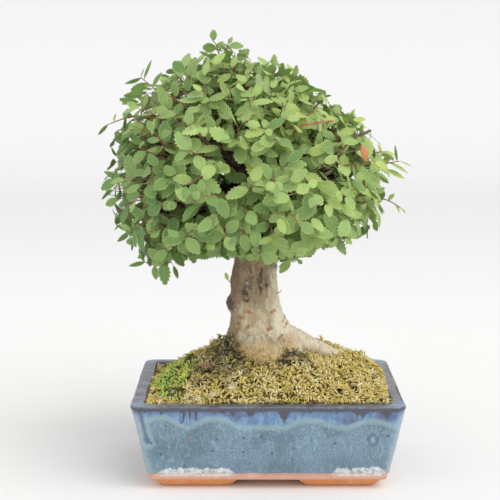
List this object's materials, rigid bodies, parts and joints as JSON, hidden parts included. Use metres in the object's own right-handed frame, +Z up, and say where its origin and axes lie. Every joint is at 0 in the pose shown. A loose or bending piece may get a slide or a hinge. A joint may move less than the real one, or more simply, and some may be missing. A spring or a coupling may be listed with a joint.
{
  "type": "chinese elm bonsai",
  "caption": "Chinese elm bonsai with a domed crown of saw-toothed leaves, a pale flared trunk and surface roots, in a mossy, blue-glazed rectangular pot on low feet.",
  "frame": {"origin": "middle of the underside of the whole plant's box, on the surface that the pot's feet stand on", "axes": "+Z up along the trunk; X along the pot's long sides, +X to the right seen from the front; +Y to the pot's back, away from the face that the picture shows"},
  "size_m": [0.2036, 0.189, 0.2987],
  "materials": {
    "glaze": "gloss",
    "terracotta": "matte",
    "lime_crust": "matte",
    "screen": "matte",
    "soil": "matte",
    "moss_olive": "matte",
    "moss_green": "matte",
    "stone_white": "matte",
    "stone_brown": "matte",
    "bark": "matte",
    "twig": "matte",
    "leaf": "matte"
  },
  "bodies": {
    "root": {"pot": "glaze", "drain_screen_left": "screen", "drain_screen_right": "screen", "soil": "soil", "moss_mat": "moss_olive", "moss_green": "moss_green", "pebble_1": "stone_white", "pebble_2": "stone_white", "pebble_3": "stone_white", "pebble_4": "stone_brown", "trunk": "bark", "spray_01": "leaf", "spray_02": "leaf", "spray_03": "leaf", "spray_04": "leaf", "spray_05": "leaf", "spray_06": "leaf", "spray_07": "leaf", "spray_08": "leaf", "spray_09": "leaf", "spray_10": "leaf", "spray_11": "leaf", "spray_12": "leaf", "spray_13": "leaf", "spray_14": "leaf", "spray_15": "leaf", "spray_16": "leaf", "spray_17": "leaf", "spray_18": "leaf", "spray_19": "leaf", "spray_20": "leaf", "spray_21": "leaf", "spray_22": "leaf", "spray_23": "leaf", "spray_24": "leaf", "spray_25": "leaf", "spray_26": "leaf", "spray_27": "leaf", "spray_28": "leaf", "spray_29": "leaf", "spray_30": "leaf", "spray_31": "leaf", "spray_32": "leaf", "spray_33": "leaf", "spray_34": "leaf"}
  },
  "joints": []
}
